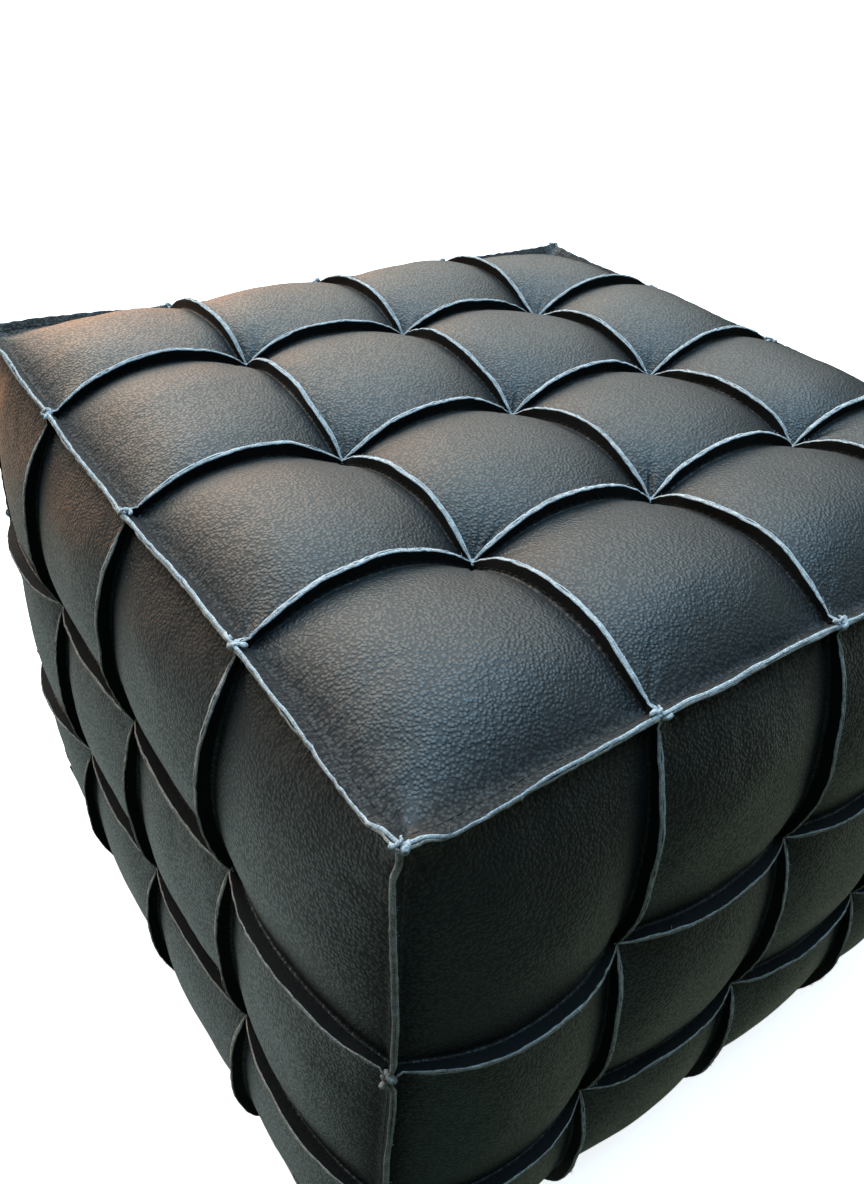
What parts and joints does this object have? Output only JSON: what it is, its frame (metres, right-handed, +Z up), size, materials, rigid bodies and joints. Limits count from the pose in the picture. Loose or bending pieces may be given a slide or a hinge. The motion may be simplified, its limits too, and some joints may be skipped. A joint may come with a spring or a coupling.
{
  "type": "leather pouf",
  "caption": "Cube-shaped leather pouf of pillowed squares with raised raw-edge seams, over a foam and wadding filling, with a zip in its base.",
  "frame": {"origin": "middle of the underside of the base panels, on the surface that the pouf stands on", "axes": "+Z up, +X along the zip towards its closed end, -Y out of the front face"},
  "size_m": [0.5455, 0.5527, 0.4234],
  "materials": {
    "leather": "black pebble-grained leather with a soft semi-matt sheen",
    "raw_edge": "pale undyed cut edge of the leather, fibrous and matt",
    "thread": "black waxed sewing thread",
    "wadding": "white polyester wadding, matt and fluffy",
    "foam": "pale yellow open-cell foam, matt",
    "twine": "natural upholsterer's twine",
    "zip_tape": "black woven polyester tape",
    "zip_coil": "black nylon coil",
    "zip_metal": "dark nickel-plated zinc, lightly worn"
  },
  "bodies": {
    "cover": {"top_panel_1_1": "leather", "top_panel_1_2": "leather", "top_panel_1_3": "leather", "top_panel_1_4": "leather", "top_panel_2_1": "leather", "top_panel_2_2": "leather", "top_panel_2_3": "leather", "top_panel_2_4": "leather", "top_panel_3_1": "leather", "top_panel_3_2": "leather", "top_panel_3_3": "leather", "top_panel_3_4": "leather", "top_panel_4_1": "leather", "top_panel_4_2": "leather", "top_panel_4_3": "leather", "top_panel_4_4": "leather", "front_strip_1": "leather", "front_strip_2": "leather", "front_strip_3": "leather", "front_strip_4": "leather", "right_strip_1": "leather", "right_strip_2": "leather", "right_strip_3": "leather", "right_strip_4": "leather", "back_strip_1": "leather", "back_strip_2": "leather", "back_strip_3": "leather", "back_strip_4": "leather", "left_strip_1": "leather", "left_strip_2": "leather", "left_strip_3": "leather", "left_strip_4": "leather", "base_panel_front": "leather", "base_panel_back": "leather", "wadding_top": "wadding", "wadding_front": "wadding", "wadding_right": "wadding", "wadding_back": "wadding", "wadding_left": "wadding", "tufting_twine_top": "twine", "tufting_twine_front": "twine", "tufting_twine_right": "twine", "tufting_twine_back": "twine", "tufting_twine_left": "twine", "foam_core": "foam", "zip_tape_front": "zip_tape", "zip_tape_back": "zip_tape", "zip_coil_front": "zip_coil", "zip_coil_back": "zip_coil", "zip_top_stop": "zip_metal", "zip_bottom_stop": "zip_metal"},
    "slider": {"zip_slider": "zip_metal"},
    "pull": {"zip_pull": "zip_metal"}
  },
  "joints": [
    {"name": "zip_slide", "type": "slide", "parent": "cover", "child": "slider", "axis": [-1, 0, 0], "range_m": [0, 0.34]},
    {"name": "pull_swing", "type": "hinge", "parent": "slider", "child": "pull", "pos_m": [0.173, 0, 0.0029], "axis": [0, -1, 0], "range_deg": [0, 165]}
  ]
}
